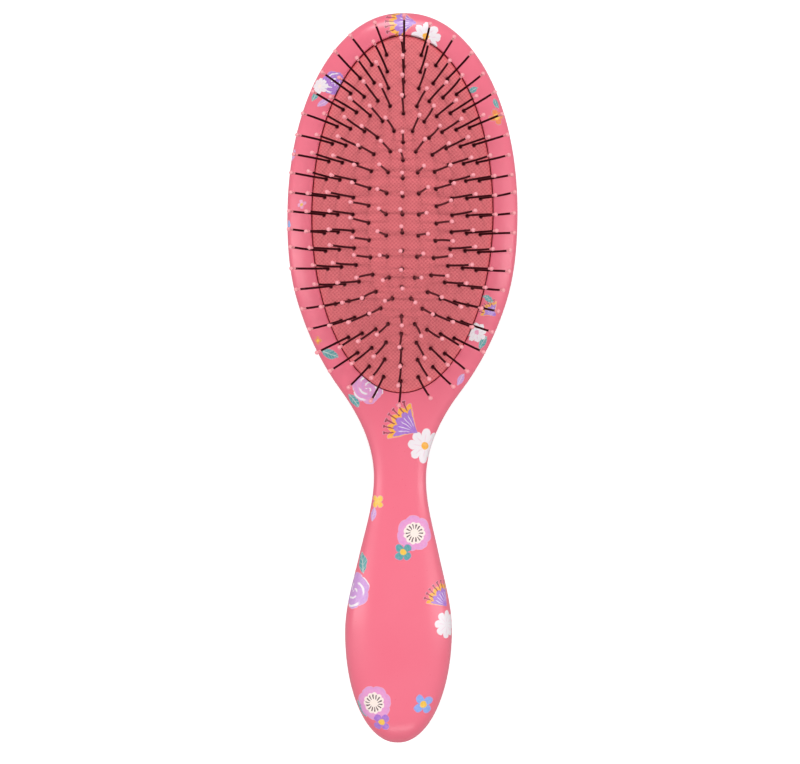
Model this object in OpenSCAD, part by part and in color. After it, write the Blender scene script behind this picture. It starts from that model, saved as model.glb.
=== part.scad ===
// Cushioned detangling hairbrush, lying on its back.
// +Z is the way the pins point, +Y runs from the handle to the head, X is across.
// The origin is under the middle of the brush, on the plane that it rests on.

/* [Body outline] */
// Overall length of the brush
body_length = 225; // [195:1:275]
// Distance from the head's end to the thinnest place of the neck
head_length = 143.5; // [130:0.5:148]
// Width of the head at its widest
head_width = 71; // [58:0.1:85]
// Distance from the head's end to its widest place
head_nose = 62.5; // [58:0.5:68]
// Width of the neck at its thinnest
neck_width = 16.1; // [13:0.1:20]
// Width of the grip at its widest
grip_width = 33; // [27:0.5:40]
// Distance from the handle's end to the grip's widest place
grip_nose = 34.5; // [28:0.5:37]

/* [Body thickness] */
// Height of the plane where the two shells meet
parting_z = 8.5; // [7.5:0.1:10]
// Height of the head's front face
head_front_z = 14.5; // [13.9:0.1:16]
// Height of the neck's front face
neck_front_z = 13.4; // [12.5:0.1:14.5]
// Height of the grip's front face
grip_front_z = 17.2; // [15.5:0.1:20]
// Height of the neck's back above the rest plane
neck_back_z = 2.6; // [1.5:0.1:3.5]
// Depth by which the crowned back is flattened where it rests
rest_flat = 0.25; // [0.15:0.05:0.6]
// Rise of the back, and fall of the grip's front, towards both ends
end_crown = 1.5; // [0.8:0.1:2]
// Length over which the two ends are rounded off
end_round = 10; // [8:0.5:14]
// Wall of both shells
wall = 2.2; // [1.8:0.1:2.6]

/* [Air cushion] */
// Length of the cushion
cushion_length = 109.4; // [92:0.1:112]
// Width of the front face beside the opening, at its narrowest
rim_side = 7.4; // [6.5:0.05:8]
// Width of the front face beyond the opening, at the head's end
rim_end = 7.2; // [7:0.1:10]
// Gap between the cushion and the edge of its opening
opening_gap = 0.4; // [0.25:0.05:0.6]
// Height of the cushion's edge
cushion_edge_z = 13.2; // [12.8:0.1:14]
// Rise of the dome above the cushion's edge
cushion_rise = 10; // [8:0.5:12]
// Thickness of the rubber
membrane = 1.2; // [0.9:0.1:1.5]
// Reach of the flange beyond the cushion's side
flange_reach = 2.6; // [2:0.1:3]
// Height of the underside of the front face, which the flange meets
seat_z = 11.6; // [11.2:0.1:11.8]

/* [Retainer] */
// Thickness of the retaining ring
retainer_thick = 1.9; // [1.6:0.1:2]
// Diameter of the posts that hold the ring up
post_d = 4.6; // [3.6:0.1:5.4]

/* [Pins] */
// Number of pins in each ring, from the outer ring inwards
ring_counts = [44, 40, 36, 30, 20];
// Number of pins in the centre column
centre_count = 9; // [5:2:11]
// Distance between the pins of the centre column
centre_pitch = 5.5; // [4.6:0.1:6.2]
// Distance from the cushion's side to the outer ring
ring_margin_side = 3.7; // [3.4:0.1:5.2]
// Distance from the cushion's end to the outer ring
ring_margin_end = 4.15; // [3.8:0.05:5.6]
// Distance from the cushion's middle to the pin field's middle, towards the handle
pin_field_shift = 0.55; // [0:0.05:1]
// Length of a pin from the rubber to the middle of its ball tip
pin_reach = 17; // [14:0.5:20]
// Diameter of a pin
pin_d = 0.55; // [0.45:0.05:0.7]
// Diameter of the collar where a pin leaves the rubber
collar_d = 0.9; // [0.8:0.05:1.1]
// Height of the collar above the rubber
collar_rise = 0.7; // [0.5:0.1:1.2]
// Diameter of the head that holds a pin under the rubber
pin_head_d = 2.2; // [1.8:0.1:2.4]
// Thickness of that head
pin_head_thick = 0.5; // [0.4:0.1:0.7]
// Lean of the outer ring's pins at the side, in degrees
lean_side = 35.5; // [25:0.1:42]
// Lean of the outer ring's pins at the end, in degrees
lean_end = 27.5; // [15:0.1:30]
// Clearance round a pin in the rubber and in its tip
pin_clearance = 0.03; // [0.02:0.01:0.06]

/* [Tips] */
// Diameter of the ball tip
tip_d = 1.3; // [1.2:0.05:1.8]
// Diameter of the sleeve below the ball
sleeve_d = 0.8; // [0.75:0.05:0.95]
// Length of the sleeve below the middle of the ball
sleeve_length = 1.6; // [1.2:0.1:2]

/* [Register posts] */
// Places of the posts, measured from the handle's end
register_places = [16, 48, 82];
// Diameter of the peg on a post
peg_d = 2.6; // [2:0.1:3.2]
// Length of the peg
peg_length = 3; // [2:0.1:4]
// Clearance round and beyond the peg
peg_clearance = 0.1; // [0.05:0.05:0.2]

/* [Hidden] */

// Body: places along Y
head_end_y = body_length / 2;
handle_end_y = -body_length / 2;
head_wide_y = head_end_y - head_nose;
neck_y = head_end_y - head_length;
grip_wide_y = handle_end_y + grip_nose;
// Fullness of the curves: 2 is an ellipse, and more is squarer
head_plan = 2.08;
grip_plan = 2.05;
head_front_full = 4;
grip_front_full = 3;
back_full = 2.4;
// Half thickness left at the very ends
end_half = 0.5;

// Cushion: half axes, and the height of the flange and ring
cushion_a = head_width / 2 - rim_side - opening_gap;
cushion_b = cushion_length / 2;
cushion_y = head_end_y - rim_end - opening_gap - cushion_b;
fit_gap = 0.02;
flange_thick = membrane;
flange_z = seat_z - fit_gap - flange_thick;
ring_z = flange_z - fit_gap - retainer_thick;
ring_cover = 0.4;
ring_lap = 0.8;
pocket_gap = 0.25;
// Radii of the dome's arcs across and along
dome_across = (pow(cushion_a, 2) + pow(cushion_rise, 2)) / (2 * cushion_rise);
dome_along = (pow(cushion_b, 2) + pow(cushion_rise, 2)) / (2 * cushion_rise);

// Pins: half axes of the outer ring, and each ring's share of them [across, along]
ring_a = cushion_a - ring_margin_side;
ring_b = cushion_b - ring_margin_end;
ring_shares = [[1, 1], [0.823, 0.9], [0.629, 0.806], [0.43, 0.715], [0.207, 0.611]];
// Growth of the lean along a ring's other direction
lean_side_gain = 0.42;
lean_end_gain = 0.35;
// A head's clearance under the rubber, with the greatest tilt of a pin from the rubber's own normal
head_clearance = 0.05;
head_tilt = 14.5;
head_gap = head_clearance + membrane * (1 / cos(head_tilt) - 1) + pin_head_d / 2 * tan(head_tilt);
post_places = [24, 66, 114, 156, 204, 246, 294, 336];
post_wall = 1.6;
cut = 1;
fine = 48;
round_fn = 24;

// ---- Curves ----

// Smooth curve from value v0 with slope m0 at u0 to value v1 with slope m1 at u1
function ease(u, u0, v0, m0, u1, v1, m1) =
  let (h = u1 - u0, t = (u - u0) / h)
  (2 * pow(t, 3) - 3 * pow(t, 2) + 1) * v0 + (pow(t, 3) - 2 * pow(t, 2) + t) * h * m0
  + (3 * pow(t, 2) - 2 * pow(t, 3)) * v1 + (pow(t, 3) - pow(t, 2)) * h * m1;

// Share of full size at t from 0 to 1 along a rounded quarter of the given fullness
function quarter(t, full) = pow(max(0, 1 - pow(min(1, max(0, t)), full)), 1 / full);

// Half width of the head's flank, from its widest place to the neck
flank_t1 = 0.346;
flank_t2 = 0.667;
function flank(y) =
  let (n = neck_width / 2, w = head_width / 2 - n, t = (head_wide_y - y) / (head_wide_y - neck_y))
  n + w * (t < flank_t1 ? ease(t, 0, 1, 0, flank_t1, 0.864, -0.976)
    : t < flank_t2 ? ease(t, flank_t1, 0.864, -0.976, flank_t2, 0.381, -2.196)
    : ease(t, flank_t2, 0.381, -2.196, 1, 0, 0));

// Half width of the handle, from the neck to the grip's widest place
function handle_flank(y) =
  let (n = neck_width / 2, g = grip_width / 2, m = (neck_y + grip_wide_y) / 2,
    rise = 1.22 * (g - n) / (grip_wide_y - neck_y))
  y > m ? ease(y, neck_y, n, 0, m, (n + g) / 2, rise) : ease(y, m, (n + g) / 2, rise, grip_wide_y, g, 0);

// Half width of the body at y
function half_width(y) =
  y > head_wide_y ? head_width / 2 * quarter((y - head_wide_y) / head_nose, head_plan)
  : y > neck_y ? flank(y)
  : y > grip_wide_y ? handle_flank(y)
  : grip_width / 2 * quarter((grip_wide_y - y) / grip_nose, grip_plan);

// Value along the body from its values at the head, neck and grip, with its change at both ends
function along(y, head, neck, grip, head_end = 0, grip_end = 0) =
  y > head_wide_y ? head + head_end * pow((y - head_wide_y) / head_nose, 2)
  : y > neck_y ? ease(y, head_wide_y, head, 0, neck_y, neck, 0)
  : y > grip_wide_y ? ease(y, neck_y, neck, 0, grip_wide_y, grip, 0)
  : grip + grip_end * pow((grip_wide_y - y) / grip_nose, 2);

// Share of full thickness at y, which falls to nothing at both ends
function end_share(y) = quarter(1 - min(head_end_y - y, y - handle_end_y) / end_round, 2.5);

function front_half(y) =
  max(end_half, end_share(y)
    * (along(y, head_front_z, neck_front_z, grip_front_z, 0, -end_crown) - parting_z));
function back_half(y) =
  max(end_half, end_share(y)
    * (parting_z - along(y, -rest_flat, neck_back_z, -rest_flat, end_crown, end_crown)));
function front_full(y) = along(y, head_front_full, head_front_full, grip_front_full);

// Places of the sections, closer together towards both ends
stations = concat(
  [for (a = [90:-7.5:7.5]) head_wide_y + head_nose * sin(a)],
  [for (i = [0:26]) head_wide_y + (grip_wide_y - head_wide_y) * i / 26],
  [for (a = [9:9:90]) grip_wide_y - grip_nose * sin(a)]);
arc_steps = 24;

// Half an arc of a section: half width w, height h above the parting plane, fullness n
function arc(w, h, n, way) =
  [for (i = [0:arc_steps]) let (a = 180 * i / arc_steps, c = cos(a), s = sin(a))
    [w * sign(c) * pow(abs(c), 2 / n), way * h * pow(abs(s), 2 / n)]];

// Closed section of one half of the body at y, thinner than the outside by inset on every side
function half_section(y, way, inset, reach) =
  let (w = max(end_half, half_width(y) - inset),
    h = max(end_half / 2, (way > 0 ? front_half(y) : back_half(y)) - inset),
    pts = arc(w, h, way > 0 ? front_full(y) : back_full, way),
    floor_z = way < 0 && inset > 0 ? inset : -cut,
    roof_z = inset > 0 && way > 0 && y > neck_y ? seat_z : grip_front_z + cut)
  concat([for (p = pts) [p[0], y, min(roof_z, max(floor_z, parting_z + p[1]))]],
    [[-w, y, parting_z - way * reach], [w, y, parting_z - way * reach]]);

// Solid through a list of closed sections
module loft(sections) {
  m = len(sections[0]);
  n = len(sections);
  polyhedron(
    points = [for (s = sections) each s],
    faces = concat(
      [[for (j = [0:m - 1]) j]],
      [for (i = [0:n - 2]) for (j = [0:m - 1]) for (k = [0, 1])
        let (a = i * m + j, b = i * m + (j + 1) % m)
        k == 0 ? [a, a + m, b] : [b, a + m, b + m]],
      [[for (j = [m - 1:-1:0]) (n - 1) * m + j]]));
}

// One half of the body: way 1 is the front and -1 the back
module half_body(way, inset, reach) {
  inner = [for (y = stations)
    if (head_end_y - y > inset && y - handle_end_y > inset) y];
  places = inset == 0 ? stations
    : concat([head_end_y - inset], inner, [handle_end_y + inset]);
  loft([for (y = places) way > 0 ? half_section(y, way, inset, reach)
    : [for (i = [arc_steps + 2:-1:0]) half_section(y, way, inset, reach)[i]]]);
}

// Flat oval of half axes a and b, lying at the cushion's middle
module oval(a, b, z0, z1, steps = 120) {
  translate([0, cushion_y, z0]) linear_extrude(height = z1 - z0)
    polygon([for (i = [0:steps - 1]) let (t = 360 * i / steps) [a * cos(t), b * sin(t)]]);
}

// ---- Shells ----

// Places of the register posts along Y
function register_y() = [for (d = register_places) handle_end_y + d];

module front_shell() {
  boss_d = peg_d + 2 * peg_clearance + 2 * post_wall;
  color([0.95, 0.47, 0.54]) resize([0, 0, 0]) difference() {
    union() {
      difference() {
        half_body(1, 0, 0);
        half_body(1, wall, cut);
        oval(cushion_a + opening_gap, cushion_b + opening_gap, seat_z - cut, head_front_z + cut);
        // Pocket that the cushion's flange and the retainer drop into
        oval(cushion_a + flange_reach + ring_cover + pocket_gap,
          cushion_b + flange_reach + ring_cover + pocket_gap, parting_z - cut, seat_z);
      }
      intersection() {
        half_body(1, wall / 2, 0);
        for (y = register_y()) translate([0, y, parting_z])
          cylinder(h = grip_front_z, d = boss_d, $fn = round_fn);
      }
    }
    for (y = register_y()) translate([0, y, parting_z - cut])
      cylinder(h = peg_length + peg_clearance + cut, d = peg_d + 2 * peg_clearance, $fn = round_fn);
  }
}

module back_shell() {
  post_base = peg_d + 2 * post_wall;
  post_a = cushion_a + flange_reach / 2 - ring_cover;
  post_b = cushion_b + flange_reach / 2 - ring_cover;
  color([0.95, 0.47, 0.54]) difference() {
    resize([0, 0, 0]) union() {
      difference() {
        half_body(-1, 0, 0);
        half_body(-1, wall, cut);
      }
      intersection() {
        half_body(-1, wall / 2, 0);
        union() {
          for (y = register_y()) translate([0, y, 0])
            cylinder(h = parting_z, d = post_base, $fn = round_fn);
          for (t = post_places) translate([post_a * cos(t), cushion_y + post_b * sin(t), 0])
            cylinder(h = ring_z - fit_gap, d = post_d, $fn = round_fn);
        }
      }
      for (y = register_y()) translate([0, y, parting_z - cut])
        cylinder(h = peg_length + cut, d = peg_d, $fn = round_fn);
    }
    translate([-head_width, handle_end_y - cut, -parting_z])
      cube([2 * head_width, body_length + 2 * cut, parting_z]);
  }
}

module cushion_retainer() {
  color([0.85, 0.40, 0.47]) difference() {
    oval(cushion_a + flange_reach + ring_cover, cushion_b + flange_reach + ring_cover,
      ring_z, ring_z + retainer_thick);
    oval(cushion_a - membrane - ring_lap, cushion_b - membrane - ring_lap,
      ring_z - cut, ring_z + retainer_thick + cut);
  }
}

// ---- Cushion ----

// Height of the dome's outer face at x, y from the cushion's middle
function dome_z(x, y) =
  cushion_edge_z + cushion_rise - dome_along
  + sqrt(pow(dome_along - dome_across + sqrt(pow(dome_across, 2) - pow(x, 2)), 2) - pow(y, 2));

// Layer of rubber, curved across and along
module dome_layer() {
  sweep = 2 * asin(cushion_b / dome_along) + 4;
  low = dome_along - cushion_rise - 2 * membrane;
  translate([0, cushion_y, cushion_edge_z + cushion_rise - dome_along])
    rotate([0, -90, 0]) rotate([0, 0, -sweep / 2])
      rotate_extrude(angle = sweep, $fn = fine) intersection() {
        translate([dome_along - dome_across, 0]) difference() {
          circle(r = dome_across, $fn = fine);
          circle(r = dome_across - membrane, $fn = fine);
        }
        translate([low, -cushion_a - cut]) square([cushion_rise + 3 * membrane, 2 * (cushion_a + cut)]);
      }
}

module cushion() {
  side_top = cushion_edge_z - membrane / 2;
  color([0.87, 0.45, 0.47]) difference() {
    union() {
      intersection() {
        dome_layer();
        oval(cushion_a, cushion_b, flange_z, cushion_edge_z + cushion_rise + cut);
      }
      difference() {
        union() {
          oval(cushion_a, cushion_b, flange_z, side_top);
          oval(cushion_a + flange_reach, cushion_b + flange_reach, flange_z, flange_z + flange_thick);
        }
        oval(cushion_a - membrane, cushion_b - membrane, flange_z - cut, side_top + cut);
      }
    }
    for (p = all_pins()) at_pin(p) translate([0, 0, -2 * membrane])
      cylinder(h = 4 * membrane, d = collar_d + 2 * pin_clearance, $fn = round_fn);
  }
}

// ---- Pins and tips ----

// Table of [length along the oval from its far end, angle]
function oval_lengths(a, b) =
  [for (t = 0, s = 0; t <= 360;
    s = s + norm([a * (sin(t + 1) - sin(t)), b * (cos(t + 1) - cos(t))]), t = t + 1) [s, t]];

// Places of n pins, evenly spaced along an oval, from the middle of its far end
function ring_places(a, b, n) =
  let (table = oval_lengths(a, b), whole = table[360][0])
  [for (i = [0:n - 1]) let (t = lookup(whole * i / n, table)) [a * sin(t), b * cos(t)]];

function ring_pins(k) =
  ring_places(ring_a * ring_shares[k][0], ring_b * ring_shares[k][1], ring_counts[k]);
function centre_pins() = [for (i = [0:centre_count - 1]) [0, (i - (centre_count - 1) / 2) * centre_pitch]];
function all_pins() = concat([for (k = [0:len(ring_counts) - 1]) each ring_pins(k)], centre_pins());

// Way that the pin at p points: it leans outwards, more towards the side and the end
function lean(p) =
  let (u = p[0] / ring_a, v = p[1] / ring_b)
  [tan(lean_side) * u * (1 + lean_side_gain * v * v),
    tan(lean_end) * v * abs(v) * (1 + lean_end_gain * u * u), 1];

// Stands what follows on the rubber at p, along the pin's own axis
module at_pin(p) {
  n = lean(p);
  y = p[1] - pin_field_shift;
  translate([p[0], y + cushion_y, dome_z(p[0], y)])
    rotate([0, acos(n[2] / norm(n)), atan2(n[1], n[0])]) children();
}

// One pin: head, collar and shaft
module pin() {
  head_top = -membrane - head_gap;
  shaft_top = pin_reach - pin_clearance;
  rotate_extrude($fn = round_fn) polygon([
    [0, head_top - pin_head_thick], [pin_head_d / 2, head_top - pin_head_thick],
    [pin_head_d / 2, head_top], [collar_d / 2, head_top], [collar_d / 2, collar_rise],
    [pin_d / 2, collar_rise + collar_d - pin_d], [pin_d / 2, shaft_top], [0, shaft_top]]);
}

// One ball tip: a ball on a short sleeve, with a blind bore for the pin
module tip() {
  bore = pin_d / 2 + pin_clearance / 2;
  ball = tip_d / 2;
  rotate_extrude($fn = round_fn) polygon(concat(
    [[bore, pin_reach - sleeve_length], [sleeve_d / 2, pin_reach - sleeve_length]],
    [for (a = [-38:16:90]) [ball * cos(a), pin_reach + ball * sin(a)]],
    [[0, pin_reach], [bore, pin_reach]]));
}

module pins(places) {
  color([0.16, 0.04, 0.06]) for (p = places) at_pin(p) pin();
}

module tips(places) {
  color([0.97, 0.70, 0.73]) for (p = places) at_pin(p) tip();
}

front_shell();
back_shell();
cushion();
cushion_retainer();
pins(ring_pins(0));  // pins_ring_1
pins(ring_pins(1));  // pins_ring_2
pins(ring_pins(2));  // pins_ring_3
pins(ring_pins(3));  // pins_ring_4
pins(ring_pins(4));  // pins_ring_5
pins(centre_pins());  // pins_centre
tips(ring_pins(0));  // tips_ring_1
tips(ring_pins(1));  // tips_ring_2
tips(ring_pins(2));  // tips_ring_3
tips(ring_pins(3));  // tips_ring_4
tips(ring_pins(4));  // tips_ring_5
tips(centre_pins());  // tips_centre
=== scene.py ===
"""Looks of a cushioned detangling hairbrush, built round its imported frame.

The brush lies on its back: +Z is the way the pins point and +Y runs from handle to head.
Lengths in this file are millimetres, and each mesh is turned to metres as it is made.
"""

import logging
import math
from dataclasses import dataclass, field
from enum import Enum
from typing import Any, Callable, Sequence

import bmesh
import bpy
import numpy as np
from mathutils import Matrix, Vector
from mathutils.geometry import delaunay_2d_cdt
from mathutils.kdtree import KDTree

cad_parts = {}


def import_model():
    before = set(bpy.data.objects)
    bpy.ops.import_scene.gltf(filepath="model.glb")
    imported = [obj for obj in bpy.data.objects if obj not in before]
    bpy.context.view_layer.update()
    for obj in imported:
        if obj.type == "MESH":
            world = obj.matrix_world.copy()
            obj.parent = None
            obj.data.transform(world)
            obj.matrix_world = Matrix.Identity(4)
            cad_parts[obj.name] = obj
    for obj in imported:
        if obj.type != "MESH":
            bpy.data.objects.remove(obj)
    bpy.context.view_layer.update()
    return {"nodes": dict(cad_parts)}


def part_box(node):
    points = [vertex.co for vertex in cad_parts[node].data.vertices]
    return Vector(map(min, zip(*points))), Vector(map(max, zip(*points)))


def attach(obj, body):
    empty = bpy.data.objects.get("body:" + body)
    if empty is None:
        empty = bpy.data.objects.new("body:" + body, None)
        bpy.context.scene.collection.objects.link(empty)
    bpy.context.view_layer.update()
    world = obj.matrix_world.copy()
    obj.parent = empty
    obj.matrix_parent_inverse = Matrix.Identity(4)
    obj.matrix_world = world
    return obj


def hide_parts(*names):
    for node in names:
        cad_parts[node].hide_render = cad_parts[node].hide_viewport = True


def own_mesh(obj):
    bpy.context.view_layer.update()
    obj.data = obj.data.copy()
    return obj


LOG = logging.getLogger("hairbrush")
MM = 0.001
SEED = 31
PIN_REACH = 17.0
FLANGE_REACH = 2.6
RIM_Z = 13.2
SHOWN_GAP = 0.24
Triple = tuple[float, float, float]
Shader = bpy.types.Node
Socket = bpy.types.NodeSocket
Thing = bpy.types.Object
Array = np.ndarray
Surface = Callable[[Array, Array], Array]


# ---- curves


def ease(u: Array, u0: float, v0: float, m0: float, u1: float, v1: float, m1: float) -> Array:
    """Smooth curve between two values with given slopes.

    Args:
        u: Places at which the curve is wanted.
        u0, v0, m0: Place, value and slope at the start.
        u1, v1, m1: Place, value and slope at the end.

    Returns:
        The curve's values at u.
    """
    h = u1 - u0
    t = (u - u0) / h
    start = (2 * t**3 - 3 * t**2 + 1) * v0 + (t**3 - 2 * t**2 + t) * h * m0
    return start + (3 * t**2 - 2 * t**3) * v1 + (t**3 - t**2) * h * m1


def quarter(t: Array, full: Any) -> Array:
    """Share of full size at t from 0 to 1 along a rounded quarter; full of 2 is an ellipse."""
    return np.maximum(0.0, 1 - np.clip(t, 0, 1) ** full) ** (1 / full)


@dataclass
class Outline:
    """Plan and thickness of the moulded body, the same law as the frame's shells."""

    length: float
    head_width: float
    head_length: float = 143.5
    head_nose: float = 62.5
    neck_width: float = 16.1
    grip_width: float = 33.0
    grip_nose: float = 34.5
    parting_z: float = 8.5
    head_front_z: float = 14.5
    neck_front_z: float = 13.4
    grip_front_z: float = 17.2
    neck_back_z: float = 2.6
    rest_flat: float = 0.25
    end_crown: float = 1.5
    end_round: float = 10.0
    handle_slope: float = 1.22
    head_full: float = 2.08
    grip_full: float = 2.05
    front_full: Triple = (4.0, 4.0, 3.0)
    back_full: float = 2.4
    end_full: float = 2.5
    flank: tuple = ((0.346, 0.864, -0.976), (0.667, 0.381, -2.196))

    @property
    def head_wide_y(self) -> float:
        """Place of the head's widest section."""
        return self.length / 2 - self.head_nose

    @property
    def neck_y(self) -> float:
        """Place of the neck's thinnest section."""
        return self.length / 2 - self.head_length

    @property
    def grip_wide_y(self) -> float:
        """Place of the grip's widest section."""
        return self.grip_nose - self.length / 2

    def half_width(self, y: Array) -> Array:
        """Half width of the body at y."""
        n, w = self.neck_width / 2, self.head_width / 2 - self.neck_width / 2
        g = self.grip_width / 2
        (t1, v1, m1), (t2, v2, m2) = self.flank
        t = (self.head_wide_y - y) / (self.head_wide_y - self.neck_y)
        side = np.where(t < t1, ease(t, 0, 1, 0, t1, v1, m1),
                        np.where(t < t2, ease(t, t1, v1, m1, t2, v2, m2), ease(t, t2, v2, m2, 1, 0, 0)))
        mid = (self.neck_y + self.grip_wide_y) / 2
        rise = self.handle_slope * (g - n) / (self.grip_wide_y - self.neck_y)
        handle = np.where(y > mid, ease(y, self.neck_y, n, 0, mid, (n + g) / 2, rise),
                          ease(y, mid, (n + g) / 2, rise, self.grip_wide_y, g, 0))
        head = self.head_width / 2 * quarter((y - self.head_wide_y) / self.head_nose, self.head_full)
        grip = g * quarter((self.grip_wide_y - y) / self.grip_nose, self.grip_full)
        inner = np.where(y > self.neck_y, n + w * side, handle)
        return np.where(y > self.head_wide_y, head, np.where(y > self.grip_wide_y, inner, grip))

    def along(self, y: Array, head: float, neck: float, grip: float,
              head_end: float = 0.0, grip_end: float = 0.0) -> Array:
        """Value along the body from its values at head, neck and grip, and its change at the ends."""
        top = head + head_end * ((y - self.head_wide_y) / self.head_nose) ** 2
        low = grip + grip_end * ((self.grip_wide_y - y) / self.grip_nose) ** 2
        upper = ease(y, self.head_wide_y, head, 0, self.neck_y, neck, 0)
        lower = ease(y, self.neck_y, neck, 0, self.grip_wide_y, grip, 0)
        inner = np.where(y > self.neck_y, upper, lower)
        return np.where(y > self.head_wide_y, top, np.where(y > self.grip_wide_y, inner, low))

    def end_share(self, y: Array) -> Array:
        """Share of full thickness at y, which falls to nothing at both ends."""
        return quarter(1 - (self.length / 2 - np.abs(y)) / self.end_round, self.end_full)

    def ratio(self, x: Array, y: Array) -> Array:
        """How far x lies towards the edge at y, from 0 to 1."""
        return np.abs(x) / np.maximum(self.half_width(y), 1e-6)

    def front(self, x: Array, y: Array) -> Array:
        """Height of the front face over x, y."""
        tall = self.along(y, self.head_front_z, self.neck_front_z, self.grip_front_z, 0, -self.end_crown)
        full = self.along(y, *self.front_full)
        return self.parting_z + self.end_share(y) * (tall - self.parting_z) * quarter(
            self.ratio(x, y), full)

    def back(self, x: Array, y: Array) -> Array:
        """Height of the back face over x, y, never below the rest plane."""
        low = self.along(y, -self.rest_flat, self.neck_back_z, -self.rest_flat,
                         self.end_crown, self.end_crown)
        z = self.parting_z - self.end_share(y) * (self.parting_z - low) * quarter(
            self.ratio(x, y), self.back_full)
        return np.maximum(z, 0.0)

    def edge(self, count: int, extra_y: float) -> tuple[Array, Array]:
        """Right-hand edge of the plan from the head's end to the handle's.

        Args:
            count: Number of evenly spaced points.
            extra_y: Place whose inward normal must be among the points.

        Returns:
            Points (n, 2) and their inward unit normals (n, 2).
        """
        turn = np.linspace(0, math.pi / 2, 1500)
        y = np.concatenate([
            self.head_wide_y + self.head_nose * np.cos(turn),
            np.linspace(self.head_wide_y, self.grip_wide_y, 3000)[1:-1],
            self.grip_wide_y - self.grip_nose * np.sin(turn)])
        fine = np.stack([self.half_width(y), y], 1)
        fine[[0, -1], 0] = 0
        step = np.hypot(*np.diff(fine, axis=0).T)
        s = np.concatenate([[0], np.cumsum(step)])
        want = np.union1d(np.linspace(0, s[-1], count), [np.interp(-extra_y, -y, s)])

        def place(at: Array) -> Array:
            """Points at those distances along the edge."""
            return np.stack([np.interp(at, s, fine[:, k]) for k in (0, 1)], 1)

        d = s[-1] / count / 4
        tangent = place(want + d) - place(want - d)
        tangent /= np.linalg.norm(tangent, axis=1)[:, None]
        normal = np.stack([tangent[:, 1], -tangent[:, 0]], 1)
        normal[0], normal[-1] = (0, -1), (0, 1)
        return place(want), normal


# ---- shading


def linear(red: int, green: int, blue: int) -> tuple[float, float, float, float]:
    """Screen colour from 0 to 255 as the shader's linear colour."""
    parts = [c / 255 for c in (red, green, blue)]
    return (*[p / 12.92 if p <= 0.04045 else ((p + 0.055) / 1.055) ** 2.4 for p in parts], 1.0)


class Tint(Enum):
    """Colours that the printed flowers are picked from."""

    PINK = linear(228, 150, 206)
    LILAC = linear(200, 148, 216)
    PURPLE = linear(160, 108, 208)
    TEAL = linear(30, 158, 160)
    BLUE = linear(122, 168, 238)
    YELLOW = linear(246, 196, 44)
    ORANGE = linear(240, 132, 60)
    AMBER = linear(250, 178, 10)
    CREAM = linear(248, 236, 226)
    WHITE = linear(240, 236, 240)
    PALE = linear(240, 160, 196)
    RED = linear(150, 16, 44)
    DARK = linear(48, 30, 44)


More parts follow.
